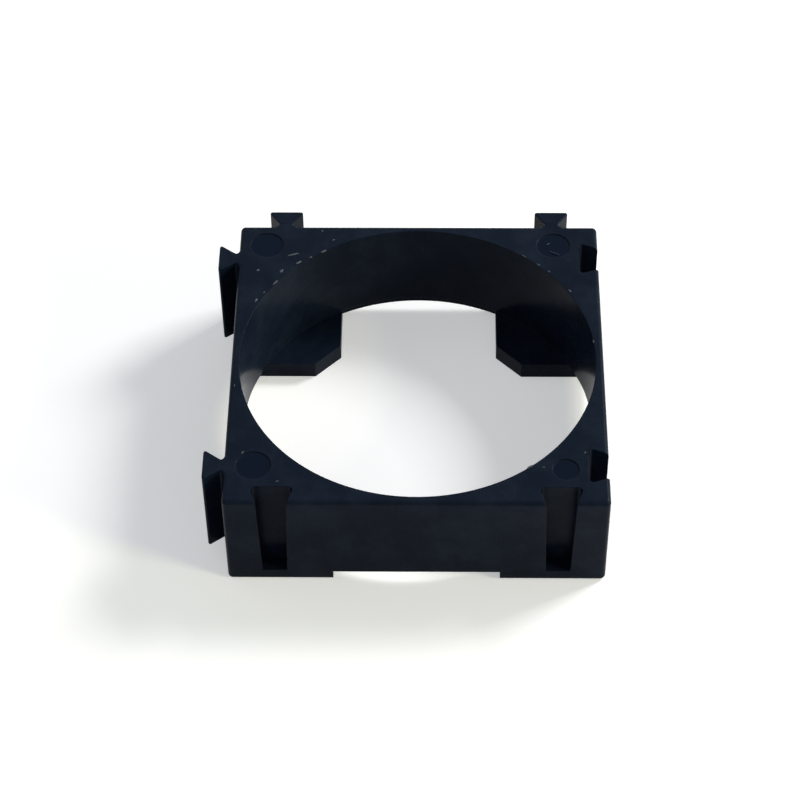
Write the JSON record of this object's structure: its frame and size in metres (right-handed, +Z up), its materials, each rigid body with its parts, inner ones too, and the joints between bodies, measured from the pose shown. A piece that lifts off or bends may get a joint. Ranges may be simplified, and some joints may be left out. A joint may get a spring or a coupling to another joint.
{
  "type": "battery cell holder bracket",
  "caption": "Square moulded plastic bracket that holds one cylindrical battery cell in a round bore and locks to its neighbours with dovetail keys and slots.",
  "frame": {"origin": "on the axis of the cell bore, in the plane of the seat on the corner stops where the cell's end rests; the feet are 1.8 mm below", "axes": "+Z up the bore, the way the cell leaves; +X right and +Y back; keys point to -X and +Y, slots open to +X and -Y"},
  "size_m": [0.0358, 0.0358, 0.011],
  "materials": {
    "black_plastic": "semi-gloss moulded black"
  },
  "bodies": {
    "root": {"cell_holder_bracket": "black_plastic"}
  },
  "joints": []
}
